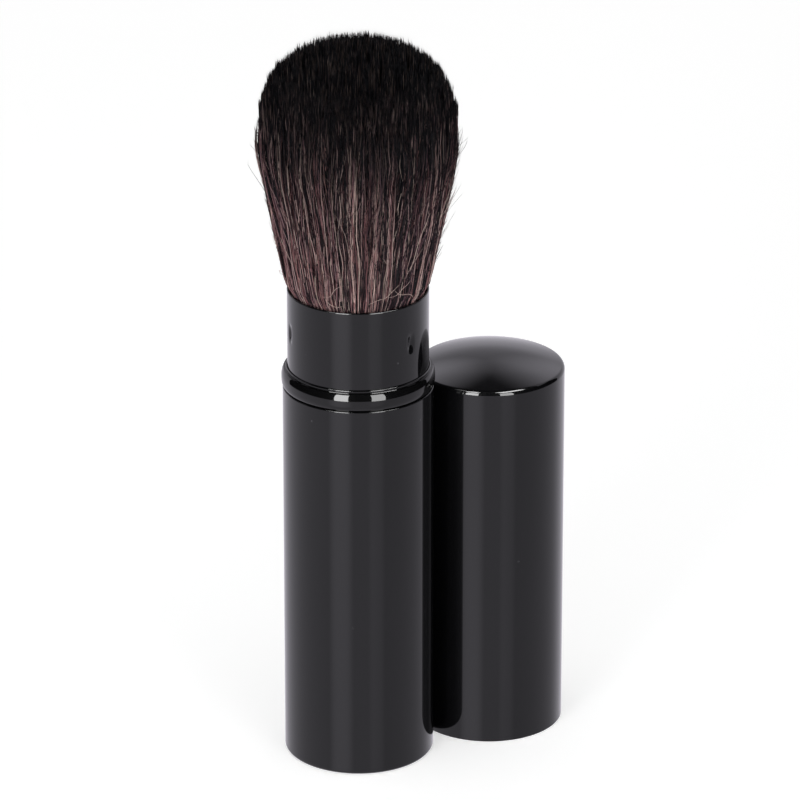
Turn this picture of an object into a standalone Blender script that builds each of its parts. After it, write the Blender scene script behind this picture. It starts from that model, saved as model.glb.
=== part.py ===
"""Retractable makeup brush with its cap taken off and stood beside it.

The handle is a drawn aluminium tube. A post in it carries the ferrule and the tuft.
A thin sleeve slides on the post through the collar and gathers the tuft when it is
pulled up, and the cap then goes over the sleeve. The origin is the centre of the
handle's base, +Z is up and -Y is the front. Lengths are in metres.
"""
import math

import bmesh
import bpy

# Handle tube, whose height follows from what slides in it
HANDLE_DIAMETER = 0.0250
HANDLE_WALL = 0.00035
HANDLE_FLOOR = 0.0008
HANDLE_CORNER = 0.0006
RIM_CHAMFER = 0.00012

# Fits
PRESS_CLEARANCE = 0.0001
RUNNING_CLEARANCE = 0.0001
SEAT_GAP = 0.0003

# Collar: a bead on top of the handle and a spigot inside its mouth
JOINT_LINE = 0.0003
BEAD_PROUD = 0.0002
BEAD_HEIGHT = 0.0033
BEAD_ROUND_HEIGHT = 0.00185
BEAD_FOOT_HEIGHT = 0.0010
BEAD_FOOT_REACH = 0.0003
BEAD_LIP = 0.00008
SPIGOT_WALL = 0.00025
SPIGOT_DEPTH = 0.0080

# Sleeve, which slides through the collar
SLEEVE_WALL = 0.0004
SLEEVE_SHOWING = 0.0135
SLEEVE_EDGE = 0.00014
TIP_COVER = 0.0008
DIMPLE_DROP = 0.0068
DIMPLE_HEIGHT = 0.0042
DIMPLE_WIDTH = 0.0026
DIMPLE_DEPTH = 0.0005
DIMPLE_COUNT = 3
DIMPLE_START_DEG = -42.0

# Stop foot on the sleeve's lower end
FOOT_FLANGE = 0.0024
FOOT_SPIGOT_WALL = 0.0006
FOOT_SPIGOT_LENGTH = 0.0030
FOOT_CHAMFER = 0.0004
FOOT_CLEARANCE = 0.00115

# Base weight and core post
WEIGHT_HEIGHT = 0.0070
WEIGHT_CHAMFER = 0.0006
POST_FOOT_HEIGHT = 0.0020
POST_RUNNING_GAP = 0.0004
POST_WALL = 0.0017
POST_ROOF = 0.0030
RING_WIDTH = 0.0016
RING_DEPTH = 0.0012
RING_ROUND = 0.0004
RING_LAND = 0.0010

# Ferrule, glue plug and tuft
FERRULE_WALL = 0.00035
FERRULE_LIP_REACH = 0.00165
FERRULE_LIP_ROUND = 0.0006
FERRULE_LIP_SHARE = 0.5
GLUE_HEIGHT = 0.0016
TUFT_ROOT_HEIGHT = 0.0022
TUFT_ROOT_DROP = 0.0023
TUFT_RIM_GAP = 0.0003
TUFT_DIAMETER = 0.0323
TUFT_SHOULDER_RISE = 0.0247
TUFT_TIP_RISE = 0.0427
TUFT_DOME_POWER = 2.9
TUFT_RINGS = 8
TUFT_RING_GROWTH = 6
STRAND_INSET_SHARE = 0.10
STRAND_BEND_SHARE = 0.95
TIP_SPREAD_SHARE = 0.04
TIP_JITTER_SHARE = 0.03

# Cap, which stands mouth down beside the handle
CAP_HEADROOM = 0.0063
CAP_WALL = 0.00035
CAP_FILLET = 0.0009
CAP_DOME_RISE = 0.0020
CAP_CLEARANCE = 0.0001
CAP_BEARING_DEG = 30.0
LINER_WALL = 0.00025
LINER_RECESS = 0.0006
LINER_LENGTH = 0.0400
LINER_LEAD_IN = 0.0008

# Facets round each piece
OUTER_SEGMENTS = 60
INNER_SEGMENTS = 36
ARC_STEPS = 4
DOME_STEPS = 5
DIMPLE_STEPS = 8
DIMPLE_SPREAD = 5
SLEEVE_PLAIN_STEPS = 12

# Radii that follow from the sizes above
HANDLE_RADIUS = HANDLE_DIAMETER / 2
HANDLE_BORE = HANDLE_RADIUS - HANDLE_WALL
SPIGOT_RADIUS = HANDLE_BORE - PRESS_CLEARANCE
COLLAR_BORE = SPIGOT_RADIUS - SPIGOT_WALL
BEAD_RADIUS = HANDLE_RADIUS + BEAD_PROUD
SLEEVE_RADIUS = COLLAR_BORE - RUNNING_CLEARANCE
SLEEVE_BORE = SLEEVE_RADIUS - SLEEVE_WALL
FOOT_SPIGOT_RADIUS = SLEEVE_BORE - PRESS_CLEARANCE
FOOT_BORE = FOOT_SPIGOT_RADIUS - FOOT_SPIGOT_WALL
POST_RADIUS = FOOT_BORE - POST_RUNNING_GAP
CAP_RADIUS = HANDLE_RADIUS
CAP_BORE = CAP_RADIUS - CAP_WALL
LINER_RADIUS = CAP_BORE - PRESS_CLEARANCE
LINER_BORE = LINER_RADIUS - LINER_WALL

# Heights from the base up to the collar, each piece on the one below
SLEEVE_TRAVEL = TUFT_TIP_RISE + TIP_COVER
WEIGHT_BOTTOM = HANDLE_FLOOR + SEAT_GAP
WEIGHT_TOP = WEIGHT_BOTTOM + WEIGHT_HEIGHT
POST_BOTTOM = WEIGHT_TOP + SEAT_GAP
POST_FOOT_TOP = POST_BOTTOM + POST_FOOT_HEIGHT
FOOT_BOTTOM = POST_FOOT_TOP + FOOT_CLEARANCE
FOOT_FLANGE_TOP = FOOT_BOTTOM + FOOT_FLANGE
SPIGOT_BOTTOM = FOOT_FLANGE_TOP + SLEEVE_TRAVEL + SEAT_GAP
HANDLE_HEIGHT = SPIGOT_BOTTOM + SPIGOT_DEPTH
BEAD_BOTTOM = HANDLE_HEIGHT + JOINT_LINE
BEAD_TOP = BEAD_BOTTOM + BEAD_HEIGHT

# Heights of the sleeve and of what the post carries
SLEEVE_BOTTOM = FOOT_FLANGE_TOP + SEAT_GAP
SLEEVE_RIM = BEAD_TOP + SLEEVE_SHOWING
FOOT_TOP = FOOT_FLANGE_TOP + FOOT_SPIGOT_LENGTH
RING_BOTTOM = FOOT_TOP + SLEEVE_TRAVEL + SEAT_GAP
GROOVE_TOP = RING_BOTTOM + RING_WIDTH + SEAT_GAP
FERRULE_BOTTOM = GROOVE_TOP + RING_LAND + SEAT_GAP
DIMPLE_CENTRE = SLEEVE_RIM - DIMPLE_DROP
DIMPLE_STOP = DIMPLE_CENTRE - DIMPLE_HEIGHT / 2 * math.sqrt(1 - math.sqrt(FERRULE_LIP_SHARE))
FERRULE_TOP = DIMPLE_STOP - SEAT_GAP
TUFT_ROOT_TOP = FERRULE_TOP - TUFT_ROOT_DROP
TUFT_ROOT_BOTTOM = TUFT_ROOT_TOP - TUFT_ROOT_HEIGHT
GLUE_BOTTOM = TUFT_ROOT_BOTTOM - SEAT_GAP - GLUE_HEIGHT
POST_TOP = GLUE_BOTTOM - SEAT_GAP
TUFT_TIP = SLEEVE_RIM + TUFT_TIP_RISE
TUFT_SHOULDER = SLEEVE_RIM + TUFT_SHOULDER_RISE

# The ferrule's lip reaches half way over the dimples, and the tuft's root fills its tube
FERRULE_LIP_RADIUS = SLEEVE_BORE - DIMPLE_DEPTH * FERRULE_LIP_SHARE
FERRULE_RADIUS = FERRULE_LIP_RADIUS - FERRULE_LIP_REACH
FERRULE_BORE = FERRULE_RADIUS - FERRULE_WALL
TUFT_ROOT_RADIUS = FERRULE_BORE - SEAT_GAP
TUFT_RIM_RADIUS = SLEEVE_BORE - TUFT_RIM_GAP
TUFT_RADIUS = TUFT_DIAMETER / 2
STRAND_INSET = TUFT_ROOT_RADIUS / TUFT_RINGS * STRAND_INSET_SHARE
STRAND_REACH = TUFT_ROOT_RADIUS - STRAND_INSET

# The cap, long enough for the raised sleeve, and where it stands
CAP_SHOULDER_HEIGHT = SLEEVE_SHOWING + SLEEVE_TRAVEL + CAP_HEADROOM
CAP_DISTANCE = BEAD_RADIUS + CAP_RADIUS + CAP_CLEARANCE
CAP_BEARING = math.radians(CAP_BEARING_DEG)


def clear_scene():
    """Empty the scene, so that the part stands alone in it."""
    for item in list(bpy.data.objects):
        bpy.data.objects.remove(item, do_unlink=True)


def surface(name, colour, roughness, metallic):
    """A Principled material with one colour and finish."""
    made = bpy.data.materials.new(name)
    made.use_nodes = True
    shader = made.node_tree.nodes["Principled BSDF"]
    shader.inputs["Base Color"].default_value = (*colour, 1.0)
    shader.inputs["Roughness"].default_value = roughness
    shader.inputs["Metallic"].default_value = metallic
    made.diffuse_color = (*colour, 1.0)
    return made


def carrier(name, place, parent=None):
    """An empty on the axis of the pieces that it carries."""
    empty = bpy.data.objects.new(name, None)
    empty.location = place
    empty.parent = parent
    bpy.context.scene.collection.objects.link(empty)
    return empty


def add_mesh(name, mesh_data, material, parent):
    """Close a bmesh into a named object under its carrier."""
    bmesh.ops.recalc_face_normals(mesh_data, faces=mesh_data.faces)
    mesh = bpy.data.meshes.new(name)
    mesh_data.to_mesh(mesh)
    mesh_data.free()
    mesh.materials.append(material)
    mesh.shade_smooth()
    mesh.set_sharp_from_angle(angle=math.radians(35.0))
    piece = bpy.data.objects.new(name, mesh)
    piece.parent = parent
    bpy.context.scene.collection.objects.link(piece)
    return piece


def arc(centre_r, centre_z, radius_r, radius_z, start_deg, end_deg, steps=ARC_STEPS):
    """Points of an elliptical arc in the (radius, height) plane, both ends included."""
    points = []
    for step in range(steps + 1):
        angle = math.radians(start_deg + (end_deg - start_deg) * step / steps)
        points.append((centre_r + radius_r * math.cos(angle), centre_z + radius_z * math.sin(angle)))
    return points


def even_angles(count):
    """Angles of a regular turning."""
    return [2 * math.pi * step / count for step in range(count)]


def turn(profile, angles, place_point=None):
    """Turn a closed profile of (radius, height) points about Z. Points on the axis become poles."""
    built = bmesh.new()
    rows = []
    for radius, height in profile:
        if radius == 0:
            rows.append([built.verts.new((0, 0, height))])
            continue
        row = []
        for angle in angles:
            reach = radius if place_point is None else place_point(radius, height, angle)
            row.append(built.verts.new((reach * math.cos(angle), reach * math.sin(angle), height)))
        rows.append(row)
    count = len(angles)
    for index, row in enumerate(rows):
        following = rows[(index + 1) % len(rows)]
        if len(row) == 1 and len(following) == 1:
            continue
        for step in range(count):
            nearby = (step + 1) % count
            if len(row) == 1:
                built.faces.new((row[0], following[step], following[nearby]))
            elif len(following) == 1:
                built.faces.new((row[nearby], row[step], following[0]))
            else:
                built.faces.new((row[nearby], row[step], following[step], following[nearby]))
    return built


def make_handle_tube(material, parent):
    """Drawn tube, closed at the bottom, with a rounded corner and a broken rim."""
    corner_centre = HANDLE_RADIUS - HANDLE_CORNER
    inner_corner = HANDLE_CORNER - HANDLE_WALL
    inner_corner_height = HANDLE_FLOOR + inner_corner
    profile = [(0, 0)]
    profile += arc(corner_centre, HANDLE_CORNER, HANDLE_CORNER, HANDLE_CORNER, -90, 0)
    profile += [
        (HANDLE_RADIUS, HANDLE_HEIGHT - RIM_CHAMFER),
        (HANDLE_RADIUS - RIM_CHAMFER, HANDLE_HEIGHT),
        (HANDLE_BORE, HANDLE_HEIGHT),
    ]
    profile += arc(corner_centre, inner_corner_height, inner_corner, inner_corner, 0, -90, 2)
    profile.append((0, HANDLE_FLOOR))
    return add_mesh("handle_tube", turn(profile, even_angles(OUTER_SEGMENTS)), material, parent)


def make_collar(material, parent):
    """Bead that stands on the handle's rim, with a spigot down inside its mouth."""
    round_reach = BEAD_RADIUS - COLLAR_BORE - BEAD_LIP
    round_base = BEAD_TOP - BEAD_ROUND_HEIGHT
    profile = [
        (COLLAR_BORE, BEAD_TOP),
        (COLLAR_BORE, SPIGOT_BOTTOM),
        (SPIGOT_RADIUS, SPIGOT_BOTTOM),
        (SPIGOT_RADIUS, BEAD_BOTTOM),
    ]
    profile += arc(BEAD_RADIUS - BEAD_FOOT_REACH, BEAD_BOTTOM + BEAD_FOOT_HEIGHT, BEAD_FOOT_REACH,
                   BEAD_FOOT_HEIGHT, -90, 0)
    profile += arc(COLLAR_BORE + BEAD_LIP, round_base, round_reach, BEAD_ROUND_HEIGHT, 0, 90, 6)
    return add_mesh("collar", turn(profile, even_angles(OUTER_SEGMENTS)), material, parent)


def dimple_angles():
    """Angles round the sleeve, close together where a dimple is."""
    half_width = math.asin(DIMPLE_WIDTH / 2 / SLEEVE_RADIUS)
    spacing = 2 * math.pi / DIMPLE_COUNT
    plain = spacing - 2 * half_width
    angles = []
    for dimple in range(DIMPLE_COUNT):
        middle = math.radians(DIMPLE_START_DEG) + dimple * spacing
        for step in range(-DIMPLE_SPREAD, DIMPLE_SPREAD):
            angles.append(middle + half_width * step / DIMPLE_SPREAD)
        for step in range(SLEEVE_PLAIN_STEPS):
            angles.append(middle + half_width + plain * step / SLEEVE_PLAIN_STEPS)
    return angles


def dimpled(radius, height, angle):
    """Radius of a sleeve point, pressed inwards where a crimp dimple is."""
    spacing = 2 * math.pi / DIMPLE_COUNT
    turned = (angle - math.radians(DIMPLE_START_DEG)) % spacing
    turned = min(turned, spacing - turned)
    across = SLEEVE_RADIUS * math.sin(turned) / (DIMPLE_WIDTH / 2)
    along = (height - DIMPLE_CENTRE) / (DIMPLE_HEIGHT / 2)
    fade = max(1 - across ** 2, 0) * max(1 - along ** 2, 0)
    return radius - DIMPLE_DEPTH * fade ** 2


def make_sleeve(material, parent):
    """Thin tube with three crimp dimples near its rim, which stop it on the ferrule's lip."""
    rows = [DIMPLE_CENTRE + DIMPLE_HEIGHT * (step / DIMPLE_STEPS - 0.5) for step in range(DIMPLE_STEPS + 1)]
    middle = SLEEVE_RADIUS - SLEEVE_WALL / 2
    profile = [(SLEEVE_BORE, SLEEVE_BOTTOM), (SLEEVE_RADIUS, SLEEVE_BOTTOM)]
    profile += [(SLEEVE_RADIUS, height) for height in rows]
    profile += [
        (SLEEVE_RADIUS, SLEEVE_RIM - SLEEVE_EDGE),
        (middle, SLEEVE_RIM),
        (SLEEVE_BORE, SLEEVE_RIM - SLEEVE_EDGE),
    ]
    profile += [(SLEEVE_BORE, height) for height in reversed(rows)]
    return add_mesh("sleeve_tube", turn(profile, dimple_angles(), dimpled), material, parent)


def make_sleeve_foot(material, parent):
    """Plastic ring pushed into the sleeve's lower end, with the flange that stops on the collar."""
    profile = [
        (FOOT_BORE, FOOT_BOTTOM),
        (SPIGOT_RADIUS - FOOT_CHAMFER, FOOT_BOTTOM),
        (SPIGOT_RADIUS, FOOT_BOTTOM + FOOT_CHAMFER),
        (SPIGOT_RADIUS, FOOT_FLANGE_TOP),
        (FOOT_SPIGOT_RADIUS, FOOT_FLANGE_TOP),
        (FOOT_SPIGOT_RADIUS, FOOT_TOP - FOOT_CHAMFER),
        (FOOT_SPIGOT_RADIUS - FOOT_CHAMFER, FOOT_TOP),
        (FOOT_BORE, FOOT_TOP),
    ]
    return add_mesh("sleeve_foot", turn(profile, even_angles(INNER_SEGMENTS)), material, parent)


def make_base_weight(material, parent):
    """Steel slug that keeps the brush standing."""
    radius = HANDLE_BORE - SEAT_GAP
    corner = HANDLE_CORNER
    profile = [
        (0, WEIGHT_BOTTOM),
        (radius - corner, WEIGHT_BOTTOM),
        (radius, WEIGHT_BOTTOM + corner),
        (radius, WEIGHT_TOP - WEIGHT_CHAMFER),
        (radius - WEIGHT_CHAMFER, WEIGHT_TOP),
        (0, WEIGHT_TOP),
    ]
    return add_mesh("base_weight", turn(profile, even_angles(INNER_SEGMENTS)), material, parent)


def make_core_post(material, parent):
    """Moulded post, hollow from below, with a foot, a ring groove and a neck for the ferrule."""
    foot_radius = HANDLE_BORE - SEAT_GAP
    bore = POST_RADIUS - POST_WALL
    groove_radius = POST_RADIUS - RING_DEPTH
    groove_bottom = RING_BOTTOM - SEAT_GAP
    neck_radius = FERRULE_BORE - PRESS_CLEARANCE
    roof = groove_bottom - POST_ROOF
    profile = [
        (bore, POST_BOTTOM),
        (foot_radius, POST_BOTTOM),
        (foot_radius, POST_FOOT_TOP),
        (POST_RADIUS, POST_FOOT_TOP),
        (POST_RADIUS, groove_bottom),
        (groove_radius, groove_bottom),
        (groove_radius, GROOVE_TOP),
        (POST_RADIUS, GROOVE_TOP),
        (POST_RADIUS, GROOVE_TOP + RING_LAND),
        (neck_radius, GROOVE_TOP + RING_LAND),
        (neck_radius, POST_TOP),
        (0, POST_TOP),
        (0, roof),
        (bore, roof),
    ]
    return add_mesh("core_post", turn(profile, even_angles(INNER_SEGMENTS)), material, parent)


def make_friction_ring(material, parent):
    """Rubber ring in the post's groove that rubs on the sleeve's bore."""
    inner = POST_RADIUS - RING_DEPTH + SEAT_GAP
    outer = SLEEVE_BORE - SEAT_GAP
    top = RING_BOTTOM + RING_WIDTH
    profile = [
        (inner, RING_BOTTOM),
        (outer - RING_ROUND, RING_BOTTOM),
        (outer, RING_BOTTOM + RING_ROUND),
        (outer, top - RING_ROUND),
        (outer - RING_ROUND, top),
        (inner, top),
    ]
    return add_mesh("friction_ring", turn(profile, even_angles(INNER_SEGMENTS)), material, parent)


def make_ferrule(material, parent):
    """Aluminium tube round the tuft's root, with the flared lip that the dimples rest on."""
    lip_bottom = FERRULE_TOP - FERRULE_WALL
    outer_round = lip_bottom - FERRULE_LIP_ROUND
    inner_round = FERRULE_LIP_ROUND + FERRULE_WALL
    profile = [(FERRULE_BORE, FERRULE_BOTTOM), (FERRULE_RADIUS, FERRULE_BOTTOM)]
    profile += arc(FERRULE_RADIUS + FERRULE_LIP_ROUND, outer_round, FERRULE_LIP_ROUND, FERRULE_LIP_ROUND,
                   180, 90, 3)
    profile += [(FERRULE_LIP_RADIUS, lip_bottom), (FERRULE_LIP_RADIUS, FERRULE_TOP)]
    profile += arc(FERRULE_RADIUS + FERRULE_LIP_ROUND, outer_round, inner_round, inner_round, 90, 180, 3)
    return add_mesh("ferrule", turn(profile, even_angles(INNER_SEGMENTS)), material, parent)


def make_glue_plug(material, parent):
    """Set resin between the post's neck and the tuft's root."""
    profile = [
        (0, GLUE_BOTTOM),
        (TUFT_ROOT_RADIUS, GLUE_BOTTOM),
        (TUFT_ROOT_RADIUS, GLUE_BOTTOM + GLUE_HEIGHT),
        (0, GLUE_BOTTOM + GLUE_HEIGHT),
    ]
    return add_mesh("glue_plug", turn(profile, even_angles(INNER_SEGMENTS)), material, parent)


def tip_height(share):
    """Height of the domed top over a strand at this share of the tuft's radius."""
    rise = (1 - min(share, 1) ** TUFT_DOME_POWER) ** (1 / TUFT_DOME_POWER)
    return TUFT_SHOULDER + (TUFT_TIP - TUFT_SHOULDER) * rise


def ring_angles(ring):
    """Angles of one ring of root points. Each ring is turned, so that no seam runs through them."""
    turned = ring * math.pi * (3 - math.sqrt(5))
    return [(turned + angle) % (2 * math.pi) for angle in even_angles(TUFT_RING_GROWTH * ring)]


def root_rows():
    """Rings of points, from the middle outwards, that cover the tuft's round root evenly."""
    rows = [[(0, 0)]]
    for ring in range(1, TUFT_RINGS + 1):
        radius = TUFT_ROOT_RADIUS * ring / TUFT_RINGS
        rows.append([(radius * math.cos(angle), radius * math.sin(angle)) for angle in ring_angles(ring)])
    return rows


def root_triangles():
    """Triangles that zip each ring to the one inside it, each as three (ring, index) pairs."""
    triangles = []
    for step in range(TUFT_RING_GROWTH):
        triangles.append(((1, step), (1, (step + 1) % TUFT_RING_GROWTH), (0, 0)))
    for ring in range(2, TUFT_RINGS + 1):
        outer_count = TUFT_RING_GROWTH * ring
        inner_count = TUFT_RING_GROWTH * (ring - 1)
        outer_step = 2 * math.pi / outer_count
        inner_step = 2 * math.pi / inner_count
        lag = (ring_angles(ring - 1)[0] - ring_angles(ring)[0]) % (2 * math.pi)
        first = round(lag / outer_step)
        lead = first * outer_step - lag
        outer = inner = 0
        while outer < outer_count or inner < inner_count:
            here = ((ring, (first + outer) % outer_count), (ring - 1, inner % inner_count))
            if lead + (outer + 1 / 2) * outer_step < (inner + 1 / 2) * inner_step:
                outer += 1
                triangles.append((here[0], (ring, (first + outer) % outer_count), here[1]))
            else:
                inner += 1
                triangles.append((here[0], (ring - 1, inner % inner_count), here[1]))
    return triangles


def grow_strand(built, face, index):
    """Grow one strand out of its cell: up through the sleeve, out to its bend, then to a point."""
    middle = face.calc_center_median()
    outermost = TUFT_ROOT_RADIUS * (1 - 1 / (3 * TUFT_RINGS))
    share = math.hypot(middle.x, middle.y) / outermost
    uneven = (index * (math.sqrt(5) - 1) / 2) % 1
    drawn_in = TIP_SPREAD_SHARE * uneven
    length = (tip_height(share * (1 - drawn_in)) - SLEEVE_RIM) * (1 - TIP_JITTER_SHARE * uneven)
    tuft_spread = TUFT_RADIUS / STRAND_REACH
    rows = [(TUFT_RIM_RADIUS / STRAND_REACH, SLEEVE_RIM)]
    rows.append((tuft_spread, SLEEVE_RIM + length * STRAND_BEND_SHARE))
    corners = list(face.verts)
    built.faces.remove(face)
    lower = corners
    for spread, height in rows:
        upper = [built.verts.new((corner.co.x * spread, corner.co.y * spread, height)) for corner in corners]
        for step in range(len(corners)):
            nearby = (step + 1) % len(corners)
            built.faces.new((lower[step], lower[nearby], upper[nearby], upper[step]))
        lower = upper
    tip_spread = tuft_spread * (1 - drawn_in / 2)
    tip = built.verts.new((middle.x * tip_spread, middle.y * tip_spread, SLEEVE_RIM + length))
    for step in range(len(corners)):
        built.faces.new((lower[step], lower[(step + 1) % len(corners)], tip))


def make_bristles(material, parent):
    """The tuft: a slice of its glued root, and strands that fan out to a domed top."""
    built = bmesh.new()
    rings = [[built.verts.new((x, y, TUFT_ROOT_TOP)) for x, y in row] for row in root_rows()]
    cells = [built.faces.new([rings[ring][index] for ring, index in cell]) for cell in root_triangles()]
    rim = rings[-1]
    lower = [built.verts.new((corner.co.x, corner.co.y, TUFT_ROOT_BOTTOM)) for corner in rim]
    for step in range(len(rim)):
        nearby = (step + 1) % len(rim)
        built.faces.new((rim[nearby], rim[step], lower[step], lower[nearby]))
    built.faces.new(list(reversed(lower)))
    built.normal_update()
    bmesh.ops.inset_individual(built, faces=cells, thickness=STRAND_INSET, use_even_offset=True)
    for index, cell in enumerate(cells):
        grow_strand(built, cell, index)
    return add_mesh("bristles", built, material, parent)


def cap_profile(radius, fillet, cap_steps):
    """Outer or inner half outline of the cap's closed end, from the wall to the axis."""
    centre = CAP_RADIUS - CAP_FILLET
    slope = 2 * math.atan(CAP_DOME_RISE / centre)
    points = arc(centre, CAP_SHOULDER_HEIGHT, fillet, fillet, 0, 90 - math.degrees(slope), cap_steps)
    dome_radius = (centre + CAP_FILLET * math.sin(slope)) / math.sin(slope)
    dome_centre = CAP_SHOULDER_HEIGHT + CAP_FILLET * math.cos(slope) - dome_radius * math.cos(slope)
    dome = dome_radius - (CAP_RADIUS - radius)
    for step in range(1, DOME_STEPS):
        angle = slope * (1 - step / DOME_STEPS)
        points.append((dome * math.sin(angle), dome_centre + dome * math.cos(angle)))
    points.append((0, dome_centre + dome))
    return points


def make_cap_shell(material, parent):
    """Drawn cap with a tight corner and a shallow dome, open at the mouth."""
    outer = cap_profile(CAP_RADIUS, CAP_FILLET, ARC_STEPS)
    inner = cap_profile(CAP_BORE, CAP_FILLET - CAP_WALL, 2)
    profile = [(CAP_BORE, 0), (CAP_RADIUS, 0)] + outer + list(reversed(inner))
    return add_mesh("cap_shell", turn(profile, even_angles(OUTER_SEGMENTS)), material, parent)


def make_cap_liner(material, parent):
    """Plastic tube inside the cap that grips the sleeve, with a lead-in at the mouth."""
    top = LINER_RECESS + LINER_LENGTH
    lead_in = LINER_BORE + LINER_WALL / 2
    profile = [
        (lead_in, LINER_RECESS),
        (LINER_RADIUS, LINER_RECESS),
        (LINER_RADIUS, top),
        (LINER_BORE, top),
        (LINER_BORE, LINER_RECESS + LINER_LEAD_IN),
    ]
    return add_mesh("cap_liner", turn(profile, even_angles(OUTER_SEGMENTS)), material, parent)


def build_part():
    """Model every piece in its place."""
    clear_scene()
    black_metal = surface("black_metal", (0.012, 0.012, 0.014), 0.12, 0.0)
    collar_black = surface("collar_black", (0.010, 0.010, 0.011), 0.08, 0.0)
    black_plastic = surface("black_plastic", (0.02, 0.02, 0.02), 0.45, 0.0)
    white_plastic = surface("white_plastic", (0.75, 0.74, 0.70), 0.40, 0.0)
    steel = surface("steel", (0.45, 0.45, 0.46), 0.35, 1.0)
    rubber = surface("rubber", (0.03, 0.03, 0.03), 0.70, 0.0)
    bare_aluminium = surface("bare_aluminium", (0.70, 0.70, 0.72), 0.30, 1.0)
    resin = surface("resin", (0.35, 0.25, 0.12), 0.30, 0.0)
    hair = surface("hair", (0.05, 0.035, 0.035), 0.60, 0.0)

    handle = carrier("handle_frame", (0, 0, 0))
    make_handle_tube(black_metal, handle)
    make_base_weight(steel, handle)
    make_core_post(white_plastic, handle)
    make_friction_ring(rubber, handle)
    make_ferrule(bare_aluminium, handle)
    make_glue_plug(resin, handle)
    make_bristles(hair, handle)
    make_collar(collar_black, handle)

    sleeve = carrier("sleeve_slide", (0, 0, 0), handle)
    make_sleeve(black_metal, sleeve)
    make_sleeve_foot(black_plastic, sleeve)

    stand = (CAP_DISTANCE * math.cos(CAP_BEARING), CAP_DISTANCE * math.sin(CAP_BEARING), 0)
    cap = carrier("cap_lift", stand)
    make_cap_shell(black_metal, cap)
    make_cap_liner(white_plastic, cap)


build_part()
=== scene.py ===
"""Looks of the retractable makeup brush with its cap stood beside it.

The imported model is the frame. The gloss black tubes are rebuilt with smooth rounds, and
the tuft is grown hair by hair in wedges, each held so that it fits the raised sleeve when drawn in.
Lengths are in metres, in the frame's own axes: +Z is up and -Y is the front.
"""

import math

import bmesh
import bpy
import numpy as np
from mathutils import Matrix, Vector


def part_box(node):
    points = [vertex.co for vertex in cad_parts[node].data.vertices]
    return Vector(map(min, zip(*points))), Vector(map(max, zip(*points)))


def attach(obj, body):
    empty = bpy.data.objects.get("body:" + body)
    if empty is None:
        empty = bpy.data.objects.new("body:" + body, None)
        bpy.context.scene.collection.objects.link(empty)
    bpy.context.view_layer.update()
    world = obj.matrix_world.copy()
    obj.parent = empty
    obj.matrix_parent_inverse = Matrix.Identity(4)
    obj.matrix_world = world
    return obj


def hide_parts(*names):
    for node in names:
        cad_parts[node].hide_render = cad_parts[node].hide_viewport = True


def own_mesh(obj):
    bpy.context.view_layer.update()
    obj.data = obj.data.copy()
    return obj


MM = 0.001

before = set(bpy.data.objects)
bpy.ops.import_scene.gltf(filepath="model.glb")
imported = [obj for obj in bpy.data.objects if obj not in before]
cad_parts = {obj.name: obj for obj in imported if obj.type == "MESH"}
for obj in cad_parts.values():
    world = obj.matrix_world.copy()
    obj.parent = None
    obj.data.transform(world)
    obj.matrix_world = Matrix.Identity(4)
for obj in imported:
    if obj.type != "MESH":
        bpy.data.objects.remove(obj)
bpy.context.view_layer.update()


# Shader nodes
def material(name):
    """A new node material, with its nodes, the function that links them and its shader."""
    made = bpy.data.materials.new(name)
    made.use_nodes = True
    nodes = made.node_tree.nodes
    shader = nodes["Principled BSDF"]
    return made, nodes, made.node_tree.links.new, shader


def noise(nodes, link, coords, scale, detail=3.0, rough=0.5, stretch=None):
    """A noise texture on these coordinates, stretched if asked."""
    source = coords
    if stretch is not None:
        mapping = nodes.new("ShaderNodeMapping")
        mapping.inputs["Scale"].default_value = stretch
        link(coords, mapping.inputs["Vector"])
        source = mapping.outputs["Vector"]
    made = nodes.new("ShaderNodeTexNoise")
    made.inputs["Scale"].default_value = scale
    made.inputs["Detail"].default_value = detail
    made.inputs["Roughness"].default_value = rough
    link(source, made.inputs["Vector"])
    return made.outputs["Fac"]


def spread(nodes, link, value, low, high, start=0.0, end=1.0, soft=False):
    """A value carried from low..high to start..end, evenly or with soft ends."""
    made = nodes.new("ShaderNodeMapRange")
    if soft:
        made.interpolation_type = "SMOOTHSTEP"
    made.inputs["From Min"].default_value = low
    made.inputs["From Max"].default_value = high
    made.inputs["To Min"].default_value = start
    made.inputs["To Max"].default_value = end
    link(value, made.inputs["Value"])
    return made.outputs["Result"]


def combined(nodes, link, operation, values):
    """Some values carried one after another through a math operation."""
    value = values[0]
    for other in values[1:]:
        made = nodes.new("ShaderNodeMath")
        made.operation = operation
        link(value, made.inputs[0])
        link(other, made.inputs[1])
        value = made.outputs["Value"]
    return value


def mixed(nodes, link, share, first, second):
    """The first colour carried to the second by a share. Each is a socket or a plain colour."""
    made = nodes.new("ShaderNodeMix")
    made.data_type = "RGBA"
    link(share, made.inputs["Factor"])
    for socket, colour in ((made.inputs[6], first), (made.inputs[7], second)):
        if isinstance(colour, tuple):
            socket.default_value = (*colour, 1.0)
        else:
            link(colour, socket)
    return made.outputs[2]


def ramp(nodes, link, value, stops):
    """A colour ramp with these (place, colour) stops."""
    made = nodes.new("ShaderNodeValToRGB")
    band = made.color_ramp
    while len(band.elements) < len(stops):
        band.elements.new(0.5)
    for element, (place, colour) in zip(band.elements, stops):
        element.position = place
        element.color = (*colour, 1.0)
    link(value, made.inputs["Fac"])
    return made.outputs["Color"]


def bump(nodes, link, height, strength, distance, shader):
    """A bump from a height field into the shader's normal."""
    made = nodes.new("ShaderNodeBump")
    made.inputs["Strength"].default_value = strength
    made.inputs["Distance"].default_value = distance
    link(height, made.inputs["Height"])
    link(made.outputs["Normal"], shader.inputs["Normal"])


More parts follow.
